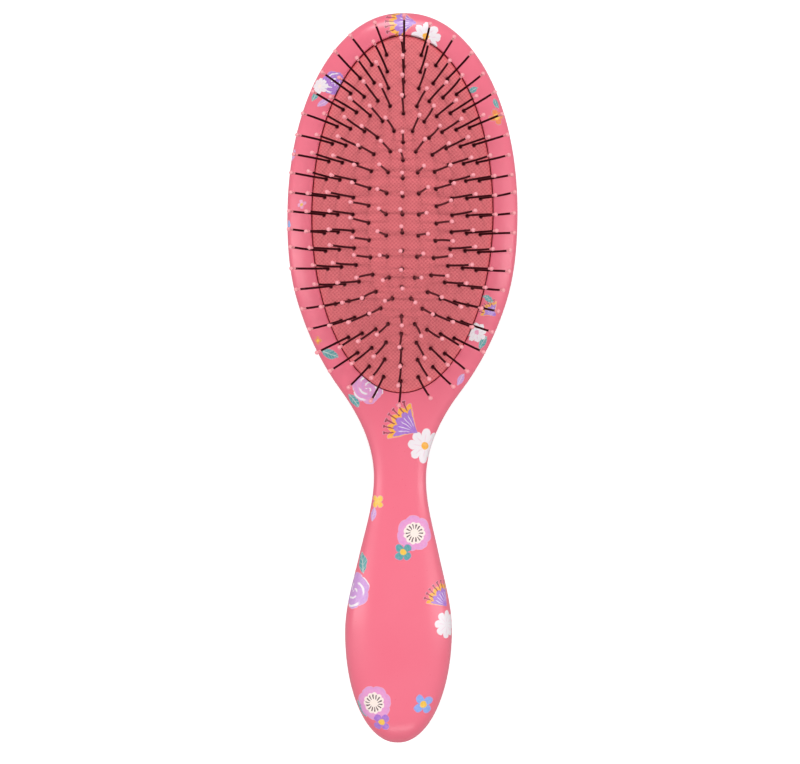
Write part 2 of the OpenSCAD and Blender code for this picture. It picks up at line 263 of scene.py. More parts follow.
class Graph:
    """Short calls that add nodes to one node tree."""

    def __init__(self, tree: bpy.types.NodeTree) -> None:
        """Starts with the tree to add to."""
        self.tree = tree

    def node(self, kind: str, **settings: Any) -> Shader:
        """Adds a node of that kind with those settings."""
        new = self.tree.nodes.new(kind)
        for name, value in settings.items():
            setattr(new, name, value)
        return new

    def put(self, socket: Socket, value: Any) -> None:
        """Links a socket to the input, or sets the input to a constant."""
        if isinstance(value, Socket):
            self.tree.links.new(value, socket)
        else:
            socket.default_value = value.value if isinstance(value, Tint) else value

    def maths(self, operation: str, *values: Any, clamp: bool = False) -> Socket:
        """Result of a maths node."""
        new = self.node("ShaderNodeMath", operation=operation, use_clamp=clamp)
        for socket, value in zip(new.inputs, values):
            self.put(socket, value)
        return new.outputs[0]

    def times(self, first: Any, *others: Any) -> Socket:
        """Product of two or more numbers."""
        for other in others:
            first = self.maths("MULTIPLY", first, other)
        return first

    def vector(self, operation: str, *values: Any) -> Socket:
        """Result of a vector maths node, a number for LENGTH."""
        new = self.node("ShaderNodeVectorMath", operation=operation)
        for socket, value in zip(new.inputs, values):
            self.put(socket, value)
        return new.outputs["Value" if operation == "LENGTH" else "Vector"]

    def scaled(self, vector: Any, scale: float) -> Socket:
        """The vector times a number."""
        new = self.node("ShaderNodeVectorMath", operation="SCALE")
        self.put(new.inputs[0], vector)
        new.inputs["Scale"].default_value = scale
        return new.outputs[0]

    def mix(self, share: Any, low: Any, high: Any, kind: str = "RGBA") -> Socket:
        """Blend of two colours, or of two vectors when kind is VECTOR."""
        new = self.node("ShaderNodeMix", data_type=kind)
        first = {"RGBA": 6, "VECTOR": 4}[kind]
        for socket, value in zip((new.inputs[0], new.inputs[first], new.inputs[first + 1]),
                                 (share, low, high)):
            self.put(socket, value)
        return new.outputs[{"RGBA": 2, "VECTOR": 1}[kind]]

    def smooth(self, value: Any, low: float, high: float) -> Socket:
        """0 at low, 1 at high and a smooth step between, in either order."""
        new = self.node("ShaderNodeMapRange", interpolation_type="SMOOTHSTEP")
        self.put(new.inputs[0], value)
        flip = high < low
        for socket, number in zip(new.inputs[1:5], (high, low, 1, 0) if flip else (low, high, 0, 1)):
            socket.default_value = number
        return new.outputs[0]

    def noise(self, vector: Any, scale: float, detail: float = 2.0) -> Shader:
        """A noise node read at vector."""
        new = self.node("ShaderNodeTexNoise")
        self.put(new.inputs["Vector"], vector)
        new.inputs["Scale"].default_value = scale
        new.inputs["Detail"].default_value = detail
        return new

    def attribute(self, name: str, output: str = "Vector") -> Socket:
        """A value stored in the mesh."""
        return self.node("ShaderNodeAttribute", attribute_name=name).outputs[output]

    def polar(self, vector: Any) -> tuple[Socket, ...]:
        """x, y, radius and turn of a vector."""
        split = self.node("ShaderNodeSeparateXYZ")
        self.put(split.inputs[0], vector)
        x, y = split.outputs[0], split.outputs[1]
        return x, y, self.vector("LENGTH", vector), self.maths("ARCTAN2", y, x)

    def wave(self, turn: Any, count: float, phase: float = 0.0) -> Socket:
        """Cosine of count times turn, plus a phase."""
        return self.maths("COSINE", self.maths("MULTIPLY_ADD", turn, count, phase))

    def lobes(self, turn: Any, count: int, depth: float, phase: float = 0.0,
              blunt: float = 0.5) -> Socket:
        """Radius of a ring of round petals: 1 at their tips and 1 less depth between them."""
        side = self.maths("ABSOLUTE", self.wave(turn, count / 2, phase))
        return self.maths("MULTIPLY_ADD", self.maths("POWER", side, blunt), depth, 1 - depth)

    def inside(self, radius: Any, bound: Any, soft: float = 0.05) -> Socket:
        """1 inside the bound and 0 outside."""
        return self.smooth(self.maths("SUBTRACT", bound, radius), 0.0, soft)


Sockets = dict[str, Any]
Fill = Callable[[Graph, Sockets], Sockets]


def shared_group(name: str, inputs: dict[str, str], outputs: dict[str, str],
                 fill: Fill) -> bpy.types.NodeTree:
    """Makes a shader node group, or returns the one of that name.

    Args:
        name: The group's name.
        inputs, outputs: Names of the sockets and what they carry.
        fill: Adds the nodes and returns each output's source.

    Returns:
        The group.
    """
    if name in bpy.data.node_groups:
        return bpy.data.node_groups[name]
    tree = bpy.data.node_groups.new(name, "ShaderNodeTree")
    for sockets, way in ((inputs, "INPUT"), (outputs, "OUTPUT")):
        for label, kind in sockets.items():
            tree.interface.new_socket(name=label, in_out=way, socket_type="NodeSocket" + kind)
    graph = Graph(tree)
    source = graph.node("NodeGroupInput")
    sink = graph.node("NodeGroupOutput")
    made = fill(graph, {label: source.outputs[label] for label in inputs})
    for label in outputs:
        graph.put(sink.inputs[label], made[label])
    return tree


def poppy(g: Graph, given: Sockets) -> Sockets:
    """Round flower with a white scalloped heart and dark ticks round its middle."""
    _, _, r, a = g.polar(given["Vector"])
    edge = g.lobes(a, 7, 0.12, 0.4)
    shade = g.smooth(g.maths("DIVIDE", r, edge), 0.72, 1.0)
    colour = g.mix(g.times(shade, 0.35), given["Tint"], Tint.LILAC)
    heart = g.inside(r, g.times(g.lobes(a, 11, 0.16), 0.62), 0.04)
    colour = g.mix(heart, colour, Tint.CREAM)
    tick = g.times(g.smooth(g.wave(a, 14), 0.15, 0.55), g.smooth(r, 0.2, 0.25), g.smooth(r, 0.5, 0.45))
    colour = g.mix(tick, colour, Tint.DARK)
    return {"Color": colour, "Mask": g.inside(r, edge)}


def daisy(g: Graph, given: Sockets) -> Sockets:
    """Blunt white petals round a coloured button."""
    _, _, r, a = g.polar(given["Vector"])
    edge = g.lobes(a, 8, 0.4, 0.3, 0.4)
    line = g.times(g.smooth(g.wave(a, 8, 0.6), 0.86, 0.97), g.smooth(r, 0.75, 0.45))
    colour = g.mix(g.times(line, 0.4), Tint.WHITE, Tint.PALE)
    colour = g.mix(g.inside(r, 0.24, 0.04), colour, given["Tint"])
    return {"Color": colour, "Mask": g.inside(r, edge)}


def four_petals(g: Graph, given: Sockets) -> Sockets:
    """Four round petals with a bright middle."""
    _, _, r, a = g.polar(given["Vector"])
    edge = g.lobes(a, 4, 0.62, 0.0, 0.62)
    rim = g.smooth(g.maths("SUBTRACT", edge, r), 0.16, 0.04)
    colour = g.mix(g.times(rim, 0.4), given["Tint"], Tint.PURPLE)
    colour = g.mix(g.inside(r, 0.36, 0.08), colour, Tint.YELLOW)
    return {"Color": colour, "Mask": g.inside(r, edge)}


def rose(g: Graph, given: Sockets) -> Sockets:
    """Full bloom with pale lines curling out of its middle."""
    _, _, r, a = g.polar(given["Vector"])
    edge = g.lobes(a, 6, 0.13, 0.9)
    curl = g.maths("SINE", g.maths("MULTIPLY_ADD", r, 15.0, g.times(a, 2.0)))
    line = g.times(g.smooth(curl, 0.45, 0.85), g.smooth(g.wave(a, 3, 1.1), -0.9, 0.1))
    colour = g.mix(line, given["Tint"], Tint.WHITE)
    dark = g.times(g.smooth(curl, -0.5, -0.95), 0.45)
    return {"Color": g.mix(dark, colour, Tint.LILAC), "Mask": g.inside(r, edge)}


def leaf(g: Graph, given: Sockets) -> Sockets:
    """Pointed leaf with a pale vein."""
    x, y, _, _ = g.polar(given["Vector"])
    half = g.times(g.maths("SUBTRACT", 1.0, g.times(x, x)), 0.5)
    across = g.maths("ABSOLUTE", y)
    side = g.maths("SINE", g.times(g.maths("SUBTRACT", x, across), 16.0))
    vein = g.maths("MAXIMUM", g.smooth(across, 0.07, 0.03), g.smooth(side, 0.9, 0.98))
    colour = g.mix(g.times(vein, 0.5), given["Tint"], Tint.CREAM)
    return {"Color": colour, "Mask": g.inside(across, half, 0.06)}


def fan(g: Graph, given: Sockets) -> Sockets:
    """Fan of petals that opens from its foot, with a bright frilled crest and red stamens."""
    _, _, r, a = g.polar(g.vector("ADD", given["Vector"], (0.0, 0.6, 0.0)))
    turn = g.maths("SUBTRACT", a, math.pi / 2)
    side = g.maths("ABSOLUTE", turn)
    frill = g.times(g.maths("ABSOLUTE", g.wave(turn, 8.5)), 0.13)
    wide = g.inside(side, 0.76, 0.05)
    cup = g.times(g.inside(r, g.maths("ADD", frill, 0.74), 0.04), wide)
    vein = g.times(g.smooth(g.wave(turn, 25), 0.7, 0.92), g.smooth(r, 0.2, 0.3), g.smooth(r, 0.7, 0.6))
    colour = g.mix(g.times(vein, 0.85), given["Tint"], Tint.WHITE)
    crest = g.times(g.inside(r, g.maths("ADD", frill, 0.94), 0.04), g.inside(side, 0.82, 0.05))
    colour = g.mix(g.maths("SUBTRACT", crest, cup, clamp=True), colour, Tint.AMBER)
    ray = g.wave(turn, 32)
    bud = g.times(g.smooth(ray, -0.2, 0.3), g.smooth(r, 1.1, 1.14))
    spray = g.times(g.maths("MAXIMUM", g.smooth(ray, 0.55, 0.85), bud), g.smooth(r, 0.8, 0.85),
                    g.smooth(r, 1.22, 1.18), g.inside(side, 0.66, 0.04))
    colour = g.mix(spray, colour, Tint.RED)
    return {"Color": colour, "Mask": g.maths("MAXIMUM", g.maths("MAXIMUM", cup, crest), spray)}


class Motif(Enum):
    """Kinds of printed flower, each with the function that draws it in a unit circle."""

    LEAF = (leaf,)
    ROSE = (rose,)
    POPPY = (poppy,)
    DAISY = (daisy,)
    FOUR = (four_petals,)
    FAN = (fan,)


@dataclass(frozen=True)
class Placed:
    """One printed flower: where it is on the film, its radius, its turn and its colour."""

    x: float
    y: float
    radius: float
    turn: float
    tint: Tint


Print = dict[Motif, tuple[Placed, ...]]

FRONT_PRINT: Print = {
    Motif.LEAF: (
        Placed(-27.2, 86.6, 2.2, 60, Tint.TEAL), Placed(-24.6, 84.2, 2.3, 30, Tint.LILAC),
        Placed(28.6, 84.6, 1.8, 120, Tint.TEAL), Placed(21.4, 88.5, 1.7, 30, Tint.TEAL),
        Placed(-34.4, 68.2, 2.0, 70, Tint.LILAC), Placed(-35.4, 46.6, 1.6, 100, Tint.BLUE),
        Placed(26.6, 24.6, 2.0, 150, Tint.TEAL), Placed(25.2, 11.0, 2.4, 60, Tint.TEAL),
        Placed(-22.0, 7.1, 3.1, -20, Tint.TEAL), Placed(18.4, -0.5, 2.2, 60, Tint.LILAC),
        Placed(-14.5, -7.2, 2.7, -50, Tint.TEAL), Placed(-8.3, -41.8, 2.3, 80, Tint.LILAC),
        Placed(-11.7, -56.6, 3.6, 100, Tint.TEAL), Placed(-11.8, -102.0, 3.2, 125, Tint.TEAL),
    ),
    Motif.ROSE: (
        Placed(-21.6, 90.2, 3.9, 0, Tint.PURPLE), Placed(-10.1, -3.2, 5.0, 0, Tint.PINK),
        Placed(-14.6, -65.1, 5.8, 40, Tint.LILAC),
    ),
    Motif.POPPY: (
        Placed(4.6, -47.6, 5.6, 0, Tint.PINK), Placed(-7.4, -99.6, 5.5, 20, Tint.PINK),
    ),
    Motif.DAISY: (
        Placed(6.7, 104.7, 4.7, 0, Tint.AMBER), Placed(-25.9, 89.4, 2.6, 0, Tint.CREAM),
        Placed(23.2, 14.1, 3.2, 10, Tint.PALE), Placed(7.6, -20.8, 5.4, 0, Tint.AMBER),
        Placed(15.4, -75.4, 4.4, 0, Tint.WHITE),
    ),
    Motif.FOUR: (
        Placed(28.8, 80.4, 2.8, 20, Tint.ORANGE), Placed(-31.0, 53.0, 1.4, 20, Tint.PALE),
        Placed(-25.8, 11.2, 1.4, 0, Tint.ORANGE), Placed(-6.9, -38.0, 2.3, 45, Tint.YELLOW),
        Placed(1.2, -53.3, 3.1, 45, Tint.TEAL), Placed(-5.0, -105.4, 3.0, 45, Tint.PURPLE),
        Placed(7.9, -99.8, 3.4, 35, Tint.BLUE),
    ),
    Motif.FAN: (
        Placed(-1.2, 109.3, 8.2, 88, Tint.PURPLE), Placed(27.2, 21.2, 4.4, 40, Tint.PURPLE),
        Placed(0.6, -13.9, 8.8, 58, Tint.PURPLE), Placed(13.0, -66.5, 7.0, 38, Tint.PURPLE),
    ),
}

BACK_PRINT: Print = {
    Motif.LEAF: (
        Placed(-3.0, 72.0, 6.0, 40, Tint.TEAL), Placed(20.0, 40.0, 6.0, 110, Tint.TEAL),
        Placed(3.5, -12.0, 4.5, 80, Tint.TEAL), Placed(-6.5, -64.0, 4.5, 60, Tint.TEAL),
    ),
    Motif.ROSE: (
        Placed(-16.0, 52.0, 8.0, 0, Tint.LILAC), Placed(4.0, -54.0, 6.0, 0, Tint.PINK),
    ),
    Motif.POPPY: (
        Placed(-14.0, 82.0, 8.0, 0, Tint.PINK), Placed(8.0, 26.0, 7.5, 30, Tint.PINK),
        Placed(-4.0, -92.0, 6.0, 0, Tint.PINK),
    ),
    Motif.DAISY: (
        Placed(18.0, 62.0, 7.0, 0, Tint.AMBER), Placed(-2.0, -34.0, 4.5, 0, Tint.AMBER),
    ),
    Motif.FOUR: (
        Placed(3.0, 48.0, 5.5, 20, Tint.BLUE), Placed(-2.0, 4.0, 4.5, 45, Tint.YELLOW),
        Placed(6.0, -76.0, 4.5, 10, Tint.BLUE),
    ),
    Motif.FAN: (
        Placed(14.0, 88.0, 6.5, 20, Tint.PURPLE), Placed(-12.0, 24.0, 6.0, -20, Tint.PURPLE),
    ),
}


def motif_group(motif: Motif) -> bpy.types.NodeTree:
    """The shared group that draws one kind of flower."""
    return shared_group("motif_" + motif.name.lower(), {"Vector": "Vector", "Tint": "Color"},
                        {"Color": "Color", "Mask": "Float"}, motif.value[0])


def print_group(name: str, printed: Print) -> bpy.types.NodeTree:
    """A group that draws a whole print from a place on the film in millimetres.

    Args:
        name: The group's name.
        printed: The flowers of each kind; two of one kind never overlap.

    Returns:
        The group, with the print's colour and mask.
    """
    def fill(g: Graph, given: Sockets) -> Sockets:
        """Draws the flowers kind by kind on the slightly swayed film."""
        sway = g.noise(given["Vector"], 0.45)
        film = g.vector("ADD", given["Vector"],
                        g.scaled(g.vector("SUBTRACT", sway.outputs["Color"], (0.5, 0.5, 0.5)), 0.9))
        film = g.vector("MULTIPLY", film, (1, 1, 0))
        colour: Any = Tint.WHITE
        mask: Any = 0.0
        for motif in Motif:
            local: Any = (9.0, 9.0, 0.0)
            tint: Any = Tint.PINK
            for spot in printed[motif]:
                moved = g.node("ShaderNodeMapping", vector_type="TEXTURE")
                g.put(moved.inputs["Vector"], film)
                moved.inputs["Location"].default_value = (spot.x, spot.y, 0)
                moved.inputs["Rotation"].default_value = (0, 0, math.radians(spot.turn))
                moved.inputs["Scale"].default_value = (spot.radius, spot.radius, 1)
                near = g.maths("LESS_THAN", g.vector("LENGTH", moved.outputs[0]), 1.1)
                local = g.mix(near, local, moved.outputs[0], "VECTOR")
                tint = g.mix(near, tint, spot.tint)
            drawn = g.node("ShaderNodeGroup", node_tree=motif_group(motif))
            g.put(drawn.inputs["Vector"], local)
            g.put(drawn.inputs["Tint"], tint)
            colour = g.mix(drawn.outputs["Mask"], colour, drawn.outputs["Color"])
            mask = g.maths("MAXIMUM", mask, drawn.outputs["Mask"])
        wash = g.smooth(g.noise(given["Vector"], 1.3, 3).outputs[0], 0.3, 0.7)
        colour = g.mix(g.times(wash, 0.12), colour, Tint.WHITE)
        return {"Color": colour, "Mask": mask}

    return shared_group(name, {"Vector": "Vector"}, {"Color": "Color", "Mask": "Float"}, fill)


@dataclass(frozen=True)
class Finish:
    """What a material is made of, before any pattern."""

    name: str
    colour: tuple
    rough: float
    specular: float


INK = 0.94
PLASTIC = Finish("painted_plastic", linear(244, 114, 136), 0.3, 0.5)
RUBBER = Finish("cushion_rubber", linear(224, 104, 116), 0.66, 0.3)
NYLON = Finish("pin_nylon", linear(24, 3, 8), 0.3, 0.1)
RESIN = Finish("tip_resin", linear(250, 164, 172), 0.3, 0.5)
INNER = Finish("retainer_plastic", linear(196, 70, 96), 0.5, 0.4)


def new_material(finish: Finish) -> tuple[bpy.types.Material, Graph, Shader]:
    """A material with one Principled shader set from a finish.

    Args:
        finish: Colour and gloss.

    Returns:
        The material, its graph and its Principled node.
    """
    material = bpy.data.materials.new(finish.name)
    material.use_nodes = True
    shader = material.node_tree.nodes["Principled BSDF"]
    shader.inputs["Base Color"].default_value = finish.colour
    shader.inputs["Roughness"].default_value = finish.rough
    shader.inputs["Specular IOR Level"].default_value = finish.specular
    return material, Graph(material.node_tree), shader


def place_mm(g: Graph) -> Socket:
    """The surface's own place in millimetres."""
    return g.scaled(g.node("ShaderNodeTexCoord").outputs["Object"], 1 / MM)


def add_grain(g: Graph, shader: Shader, finish: Finish, scale: float, depth: float) -> None:
    """Adds fine moulding grain to a shader's roughness and normal.

    Args:
        g, shader: Where to add it.
        finish: The finish whose roughness it varies.
        scale: Grains per millimetre.
        depth: Height in millimetres.
    """
    grain = g.noise(place_mm(g), scale, 3).outputs[0]
    g.put(shader.inputs["Roughness"], g.maths("MULTIPLY_ADD", grain, 0.12, finish.rough - 0.06))
    bump = g.node("ShaderNodeBump")
    bump.inputs["Distance"].default_value = depth * MM
    g.put(bump.inputs["Height"], grain)
    g.put(shader.inputs["Normal"], bump.outputs[0])


def shell_material() -> bpy.types.Material:
    """Satin pink plastic with a flower print."""
    material, g, shader = new_material(PLASTIC)
    front = g.node("ShaderNodeGroup", node_tree=print_group("front_print", FRONT_PRINT))
    back = g.node("ShaderNodeGroup", node_tree=print_group("back_print", BACK_PRINT))
    g.put(front.inputs[0], g.attribute("film"))
    g.put(back.inputs[0], g.attribute("back_film"))
    below = g.attribute("underside", "Fac")
    tone = g.noise(place_mm(g), 0.05, 2).outputs[0]
    base = g.mix(tone, linear(238, 106, 130), linear(240, 118, 139))
    colour = g.mix(g.times(front.outputs["Mask"], INK), base, front.outputs["Color"])
    under = g.times(back.outputs["Mask"], INK, below)
    g.put(shader.inputs["Base Color"], g.mix(under, colour, back.outputs["Color"]))
    add_grain(g, shader, PLASTIC, 2.2, 0.004)
    return material


def rubber_material() -> bpy.types.Material:
    """Matte rubber with a fine diagonal weave whose grooves hold painted shade, and painted shade and
    shadow round the pins.
    """
    material, g, shader = new_material(RUBBER)
    spot = place_mm(g)
    x, y, _, _ = g.polar(spot)
    lines = [g.wave(g.maths(way, x, y), math.tau / 1.2)
             for way in ("ADD", "SUBTRACT")]
    weave = g.maths("ADD", *lines)
    speck = g.noise(spot, 2.6, 2).outputs[0]
    # painted shade: the colour follows the relief, darker in the weave's grooves and lighter on its ridges
    # and raised specks
    shade = g.maths("MULTIPLY_ADD", speck, 0.5, g.smooth(weave, 1.3, -0.9))
    colour = g.mix(g.maths("MULTIPLY", shade, 0.75, clamp=True),
                   linear(215, 97, 106), linear(235, 121, 127))
    # painted shade in the dimples round the pins, moved towards the handle as the pins' painted shadow
    socket = g.smooth(g.attribute("dimple", "Fac"), 0.12, 0.7)
    colour = g.mix(g.times(socket, 0.94), colour, linear(66, 8, 20))
    g.put(shader.inputs["Base Color"], colour)
    bump = g.node("ShaderNodeBump")
    bump.inputs["Distance"].default_value = 0.05 * MM
    g.put(bump.inputs["Height"], g.maths("MULTIPLY_ADD", speck, 0.4, g.times(weave, -0.5)))
    g.put(shader.inputs["Normal"], bump.outputs[0])
    return material


def grained_material(finish: Finish, other: tuple, scale: float, depth: float) -> bpy.types.Material:
    """A finish whose colour drifts towards another, with fine grain."""
    material, g, shader = new_material(finish)
    drift = g.noise(place_mm(g), scale / 4, 2).outputs[0]
    g.put(shader.inputs["Base Color"], g.mix(drift, finish.colour, other))
    add_grain(g, shader, finish, scale, depth)
    return material


# ---- meshes


def make_object(name: str, points: Array, faces: Sequence, merge: float = 0.0,
                sharp: float = 45.0) -> Thing:
    """Makes a smooth shaded object from points in millimetres.

    Args:
        name: The piece's name.
        points: Vertices (n, 3).
        faces: Lists of vertex numbers.
        merge: Distance within which vertices become one, or 0 to keep them all.
        sharp: Angle in degrees above which an edge is shaded sharp.

    Returns:
        The new object, linked to the scene.
    """
    mesh = bpy.data.meshes.new(name)
    mesh.from_pydata((np.asarray(points) * MM).tolist(), [], [list(map(int, f)) for f in faces])
    thing = bpy.data.objects.new(name, mesh)
    bpy.context.scene.collection.objects.link(thing)
    work = bmesh.new()
    work.from_mesh(mesh)
    if merge:
        bmesh.ops.remove_doubles(work, verts=work.verts, dist=merge * MM)
    bmesh.ops.dissolve_degenerate(work, dist=1e-7, edges=work.edges)
    bmesh.ops.recalc_face_normals(work, faces=work.faces)
    work.to_mesh(mesh)
    work.free()
    mesh.shade_smooth()
    mesh.set_sharp_from_angle(angle=math.radians(sharp))
    return thing


def places_mm(thing: Thing) -> Array:
    """Places of a mesh's vertices in millimetres."""
    return np.array([v.co for v in thing.data.vertices]) / MM


def store(thing: Thing, name: str, values: Array) -> None:
    """Stores a number or a vector at every vertex."""
    kind, part = ("FLOAT_VECTOR", "vector") if values.ndim > 1 else ("FLOAT", "value")
    attribute = thing.data.attributes.new(name, kind, "POINT")
    attribute.data.foreach_set(part, values.astype(np.float32).ravel())


def grid_faces(rows: int, columns: int, closed: bool) -> list[tuple[int, ...]]:
    """Quads between neighbouring rows of a grid, each row closed into a ring or open."""
    last = columns if closed else columns - 1
    return [(r * columns + c, r * columns + (c + 1) % columns,
             (r + 1) * columns + (c + 1) % columns, (r + 1) * columns + c)
            for r in range(rows - 1) for c in range(last)]


@dataclass
class Shells:
    """The moulded front and back halves of head and handle."""

    outline: Outline
    opening_a: float
    opening_b: float
    opening_y: float
    seat_z: float = 11.6
    wall: float = 2.2
    lip: float = 0.34
    seam: float = 0.14
    edge_points: int = 330
    skin_points: int = 34
    inner_points: int = 8
    lip_points: int = 5
    bunch: float = 1.5

    def strips(self, opened: bool) -> tuple[Array, Array, Array, Array]:
        """Straight runs in plan from the edge inwards to the spine, or to the opening's lip.

        Args:
            opened: True where the runs stop at the lip.

        Returns:
            Edge points, inward normals, lengths, and a mask of the runs that reach the lip.
        """
        a, b = self.opening_a + self.lip, self.opening_b + self.lip
        points, normals = self.outline.edge(self.edge_points, self.join_y())
        with np.errstate(divide="ignore", invalid="ignore"):
            spine = np.where(normals[:, 0] < -1e-6, points[:, 0] / -normals[:, 0], np.nan)
        spine[0], spine[-1] = spine[1], spine[-2]
        points, normals, spine = self.fanned(points, points[:, 1] + normals[:, 1] * spine)
        if not opened:
            return points, normals, spine, np.zeros(len(points), bool)
        u = (points - (0, self.opening_y)) / (a, b)
        v = normals / (a, b)
        qa, qb, qc = (v * v).sum(1), 2 * (u * v).sum(1), (u * u).sum(1) - 1
        under = qb * qb - 4 * qa * qc
        hit = np.where(under > 0, (-qb - np.sqrt(np.maximum(under, 0))) / (2 * qa), np.inf)
        reach = (hit > 0) & (hit <= spine + 1e-3)
        reach[np.argmin(np.abs(points[:, 1] - self.join_y()) + (points[:, 0] < 1) * 99)] = True
        return points, normals, np.where(reach, np.minimum(hit, spine), spine), reach

    @staticmethod
    def fanned(points: Array, foot: Array) -> tuple[Array, Array, Array]:
        """Turns runs that would cross near the two ends so that they meet on the spine instead."""
        upper = points[:, 1] > 0
        foot = foot.copy()
        foot[upper] = np.maximum.accumulate(foot[upper][::-1])[::-1]
        foot[~upper] = np.minimum.accumulate(foot[~upper])
        run = np.stack([-points[:, 0], foot - points[:, 1]], 1)
        lengths = np.linalg.norm(run, axis=1)
        return points, run / lengths[:, None], lengths

    def join_y(self) -> float:
        """Place on the edge whose run inwards ends at the foot of the opening's lip."""
        y = np.linspace(self.outline.neck_y + 1, self.outline.head_wide_y - 1, 6000)
        w = self.outline.half_width(y)
        foot = y + w * np.gradient(w, y)
        low = self.opening_y - self.opening_b - self.lip
        near = y < self.opening_y - self.opening_b / 2
        return float(np.interp(low, foot[near], y[near]))

    def skin(self, points: Array, normals: Array, lengths: Array,
             surface: Surface) -> tuple[Array, Array]:
        """Points of the outer skin along every run, closest together at the edge.

        Args:
            points, normals, lengths: The runs.
            surface: Height of the skin over x, y.

        Returns:
            Skin points (runs, skin_points, 3) from the inner end to the edge, and their distance
            along the skin from the edge.
        """
        share = np.linspace(0, 1, 700) ** 4
        t = lengths[:, None] * share[None, :]
        plan = points[:, None, :] + normals[:, None, :] * t[..., None]
        z = surface(plan[..., 0], plan[..., 1])
        z[:, 0] = self.outline.parting_z
        s = np.concatenate([np.zeros((len(t), 1)),
                            np.cumsum(np.hypot(np.diff(t), np.diff(z)), 1)], 1)
        want = np.linspace(0, 1, self.skin_points) ** self.bunch
        out, far = [], []
        for k in range(len(t)):
            d = self.seam + want * (s[k, -1] - self.seam)
            tk = np.interp(d, s[k], t[k])
            zk = np.interp(d, s[k], z[k])
            place = points[k] + normals[k] * tk[:, None]
            out.append(np.column_stack([place, zk])[::-1])
            far.append(d[::-1])
        return np.array(out), np.array(far)

    def hidden(self, points: Array, normals: Array, lengths: Array, way: int,
               surface: Surface, roof: float) -> Array:
        """The parting edge and inner skin of every run, from the edge back inwards."""
        part = self.outline.parting_z + way * 0.01
        inset = np.minimum(self.wall, lengths * 0.4)
        rows = [np.column_stack([points + normals * step, np.full(len(points), part)])
                for step in (self.seam * 0.8, inset[:, None])]
        for share in np.linspace(0.06, 1, self.inner_points):
            t = inset + (lengths - inset) * share
            place = points + normals * t[:, None]
            z = surface(place[:, 0], place[:, 1]) - way * self.wall
            z = np.minimum(np.maximum(z, part + 0.4), roof) if way > 0 else np.minimum(z, part - 0.4)
            rows.append(np.column_stack([place, z]))
        return np.stack(rows, 1)

    def lip_rows(self, start: Array) -> Array:
        """The rounded lip and the opening's wall, from its foot up to the skin's inner end."""
        middle = np.array([0, self.opening_y])
        opening = np.array([self.opening_a, self.opening_b])
        wall = middle + (start[:, :2] - middle) * (opening / (opening + self.lip))
        rows = [np.column_stack([wall, np.full(len(wall), self.seat_z)])]
        for turn in np.linspace(90, 0, self.lip_points, endpoint=False):
            a = math.radians(turn)
            plan = start[:, :2] + (wall - start[:, :2]) * math.sin(a)
            rows.append(np.column_stack([plan, start[:, 2] - self.lip * (1 - math.cos(a))]))
        return np.stack(rows, 1)

    def mirrored(self, parts: list[tuple[Array, bool]]) -> tuple[Array, list]:
        """Both sides of a half shell from grids of its right-hand side."""
        points, faces, base = [], [], 0
        for grid, closed in parts:
            quads = grid_faces(grid.shape[0], grid.shape[1], closed)
            for side in (1, -1):
                points.append(grid.reshape(-1, 3) * (side, 1, 1))
                faces += [[base + i for i in (q if side > 0 else q[::-1])] for q in quads]
                base += grid.shape[0] * grid.shape[1]
        return np.concatenate(points), faces

    def build(self, way: int) -> Thing:
        """Builds one half: way 1 is the front and -1 the back."""
        surface = self.outline.front if way > 0 else self.outline.back
        points, normals, lengths, reach = self.strips(way > 0)
        skin, _ = self.skin(points, normals, lengths, surface)
        skin[~reach, 0, 0] = 0
        roof = self.seat_z if way > 0 else 0
        inner = self.hidden(points, normals, lengths, way, surface, self.outline.grip_front_z)
        if way > 0:
            over = points[:, 1] > self.outline.neck_y
            inner[over, 2:, 2] = np.minimum(inner[over, 2:, 2], roof)
        inner[~reach, -1, 0] = 0
        whole = np.concatenate([skin, inner], 1)
        if not reach.any():
            parts = [(whole, False)]
        else:
            foot = int(np.nonzero(reach)[0].max())
            whole[foot, 0, :2] = whole[foot, -1, :2] = (0, self.opening_y - self.opening_b - self.lip)
            whole[0, 0, 0] = whole[0, -1, 0] = 0
            lip = self.lip_rows(whole[:foot + 1, 0])
            inner_end = whole.shape[1] - 1
            head = np.concatenate([lip, whole[:foot + 1, :inner_end]], 1)
            handle = whole[foot:].copy()
            handle[0, -1] = lip[-1, 0]
            parts = [(head, True), (handle, False)]
        name = "front_shell_moulding" if way > 0 else "back_shell_moulding"
        thing = make_object(name, *self.mirrored(parts), merge=0.002, sharp=50)
        self.add_print_places(thing, way)
        return thing

    def add_print_places(self, thing: Thing, way: int) -> None:
        """Stores where each point lies on the flat printed film before it wraps round the body.

        Args:
            thing: The shell.
            way: 1 for the front and -1 for the back.
        """
        points, normals, lengths, _ = self.strips(False)
        skin, far = self.skin(points, normals, lengths, self.outline.front)
        front_far = far[:, 0]
        if way < 0:
            skin, far = self.skin(points, normals, lengths, self.outline.back)
        run = far - np.linalg.norm(skin[..., :2] - points[:, None, :], axis=2)
        own = skin[..., :2] - normals[:, None, :] * (far[:, 0] - lengths)[:, None, None]
        own += normals[:, None, :] * run[..., None]
        whole = own
        if way < 0:
            # film beyond the plan's edge that the front's rounded side takes up comes first
            spare = front_far - lengths
            whole = points[:, None, :] - normals[:, None, :] * (spare[:, None] + far)[..., None]
        places = places_mm(thing)
        side = np.column_stack([np.where(places[:, 0] < 0, -1.0, 1.0), np.ones((len(places), 2))])
        films = np.concatenate([whole, own], 2).reshape(-1, 4)
        found = blend_nearest(skin.reshape(-1, 3), films, places * side)
        for name, flat in (("film", found[:, :2]), ("back_film", found[:, 2:])):
            store(thing, name, side * np.column_stack([flat, np.zeros(len(flat))]))


